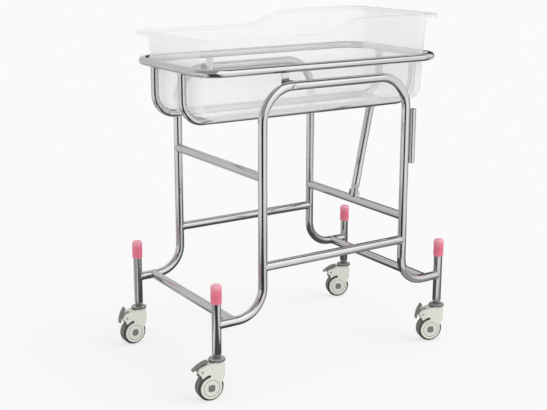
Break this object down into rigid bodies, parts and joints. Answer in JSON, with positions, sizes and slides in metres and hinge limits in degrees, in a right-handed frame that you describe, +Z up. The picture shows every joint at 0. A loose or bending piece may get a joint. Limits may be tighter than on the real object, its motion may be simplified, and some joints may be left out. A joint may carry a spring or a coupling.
{
  "type": "hospital bassinet",
  "caption": "Newborn bassinet: a clear tub standing in a tilting tube basket on a bent-tube trolley with braked swivel casters.",
  "frame": {"origin": "on the floor, under the middle of the whole outline, which is 25.2 mm toward the foot end and 6.8 mm toward the far side from the middle of the four caster posts", "axes": "+X along the length to the head end, which has the high rim and the tilt strut, +Y across to the far side, +Z up"},
  "size_m": [0.8744, 0.5356, 0.995],
  "materials": {
    "steel_tube": "satin polished stainless tube",
    "clear_tub": "clear moulded plastic, glossy",
    "pink_rubber": "soft satin rubber",
    "cream_plastic": "satin moulded plastic",
    "grey_tread": "matte rubber",
    "grey_plastic": "matte moulded plastic",
    "dark_metal": "dark satin coat",
    "bright_fastener": "bright plated steel",
    "guide_plastic": "satin grey acetal",
    "black_plastic": "matte moulded plastic"
  },
  "bodies": {
    "frame": {"side_frame_near": "steel_tube", "side_frame_far": "steel_tube", "low_rail_near": "steel_tube", "low_rail_far": "steel_tube", "low_cross_foot": "steel_tube", "low_cross_head": "steel_tube", "mid_cross_foot": "steel_tube", "mid_cross_head": "steel_tube", "pole_socket": "steel_tube", "post_caps": "pink_rubber", "strut_foot_ears": "steel_tube", "strut_foot_pin": "bright_fastener", "post_foot_near": "steel_tube", "post_foot_far": "steel_tube", "post_head_near": "steel_tube", "post_head_far": "steel_tube", "stem_foot_near": "dark_metal", "stem_foot_far": "dark_metal", "stem_head_near": "dark_metal", "stem_head_far": "dark_metal"},
    "basket": {"basket_ring": "steel_tube", "cradle_tube_near": "steel_tube", "cradle_tube_far": "steel_tube", "cradle_cross": "steel_tube", "pivot_lugs": "steel_tube", "pivot_blocks": "black_plastic", "pivot_bolts": "bright_fastener", "strut_head_ears": "steel_tube", "strut_head_pin": "bright_fastener"},
    "tub": {"tub": "clear_tub"},
    "strut_lower": {"strut_rod": "steel_tube"},
    "strut_upper": {"strut_tube": "steel_tube", "strut_gland": "guide_plastic"},
    "fork_foot_near": {"shell_foot_near": "cream_plastic", "axle_foot_near": "grey_plastic", "pedal_pin_foot_near": "bright_fastener"},
    "wheel_foot_near": {"wheel_foot_near": "cream_plastic", "tread_foot_near": "grey_tread"},
    "brake_foot_near": {"pedal_foot_near": "grey_plastic"},
    "fork_foot_far": {"shell_foot_far": "cream_plastic", "axle_foot_far": "grey_plastic", "pedal_pin_foot_far": "bright_fastener"},
    "wheel_foot_far": {"wheel_foot_far": "cream_plastic", "tread_foot_far": "grey_tread"},
    "brake_foot_far": {"pedal_foot_far": "grey_plastic"},
    "fork_head_near": {"shell_head_near": "cream_plastic", "axle_head_near": "grey_plastic", "pedal_pin_head_near": "bright_fastener"},
    "wheel_head_near": {"wheel_head_near": "cream_plastic", "tread_head_near": "grey_tread"},
    "brake_head_near": {"pedal_head_near": "grey_plastic"},
    "fork_head_far": {"shell_head_far": "cream_plastic", "axle_head_far": "grey_plastic", "pedal_pin_head_far": "bright_fastener"},
    "wheel_head_far": {"wheel_head_far": "cream_plastic", "tread_head_far": "grey_tread"},
    "brake_head_far": {"pedal_head_far": "grey_plastic"}
  },
  "joints": [
    {"name": "basket_tilt", "type": "hinge", "parent": "frame", "child": "basket", "pos_m": [-0.1248, -0.0068, 0.829], "axis": [0, -1, 0], "range_deg": [0, 10]},
    {"name": "tub_lift", "type": "slide", "parent": "basket", "child": "tub", "axis": [0, 0, 1], "range_m": [0, 0.25]},
    {"name": "strut_swing", "type": "hinge", "parent": "frame", "child": "strut_lower", "pos_m": [0.2712, -0.0068, 0.437], "axis": [0, -1, 0], "range_deg": [-0.1, 0.3]},
    {"name": "strut_slide", "type": "slide", "parent": "strut_lower", "child": "strut_upper", "axis": [0.2038, 0, 0.979], "range_m": [-0.001, 0.084]},
    {"name": "swivel_foot_near", "type": "hinge", "parent": "frame", "child": "fork_foot_near", "pos_m": [-0.3638, -0.2448, 0.09], "axis": [0, 0, 1], "continuous": true},
    {"name": "roll_foot_near", "type": "hinge", "parent": "fork_foot_near", "child": "wheel_foot_near", "pos_m": [-0.38667, -0.2424, 0.0375], "axis": [0.1045, 0.9945, 0], "continuous": true},
    {"name": "brake_foot_near", "type": "hinge", "parent": "fork_foot_near", "child": "brake_foot_near", "pos_m": [-0.41253, -0.23968, 0.088], "axis": [-0.1045, -0.9945, 0], "range_deg": [0, 43]},
    {"name": "swivel_foot_far", "type": "hinge", "parent": "frame", "child": "fork_foot_far", "pos_m": [-0.3638, 0.2312, 0.09], "axis": [0, 0, 1], "continuous": true},
    {"name": "roll_foot_far", "type": "hinge", "parent": "fork_foot_far", "child": "wheel_foot_far", "pos_m": [-0.38679, 0.2304, 0.0375], "axis": [-0.0349, 0.9994, 0], "continuous": true},
    {"name": "brake_foot_far", "type": "hinge", "parent": "fork_foot_far", "child": "brake_foot_far", "pos_m": [-0.41277, 0.22949, 0.088], "axis": [0.0349, -0.9994, 0], "range_deg": [-43, 0]},
    {"name": "swivel_head_near", "type": "hinge", "parent": "frame", "child": "fork_head_near", "pos_m": [0.4142, -0.2448, 0.09], "axis": [0, 0, 1], "continuous": true},
    {"name": "roll_head_near", "type": "hinge", "parent": "fork_head_near", "child": "wheel_head_near", "pos_m": [0.39245, -0.23731, 0.0375], "axis": [0.3256, 0.9455, 0], "continuous": true},
    {"name": "brake_head_near", "type": "hinge", "parent": "fork_head_near", "child": "brake_head_near", "pos_m": [0.36787, -0.22885, 0.088], "axis": [-0.3256, -0.9455, 0], "range_deg": [-43, 0]},
    {"name": "swivel_head_far", "type": "hinge", "parent": "frame", "child": "fork_head_far", "pos_m": [0.4142, 0.2312, 0.09], "axis": [0, 0, 1], "continuous": true},
    {"name": "roll_head_far", "type": "hinge", "parent": "fork_head_far", "child": "wheel_head_far", "pos_m": [0.39259, 0.23907, 0.0375], "axis": [0.342, 0.9397, 0], "continuous": true},
    {"name": "brake_head_far", "type": "hinge", "parent": "fork_head_far", "child": "brake_head_far", "pos_m": [0.36816, 0.24796, 0.088], "axis": [-0.342, -0.9397, 0], "range_deg": [0, 43]}
  ],
  "couplings": [
    {"joint": "strut_swing", "follows": "basket_tilt", "ratio": 0.016},
    {"joint": "strut_slide", "follows": "basket_tilt", "m_per_rad": 0.4675}
  ]
}
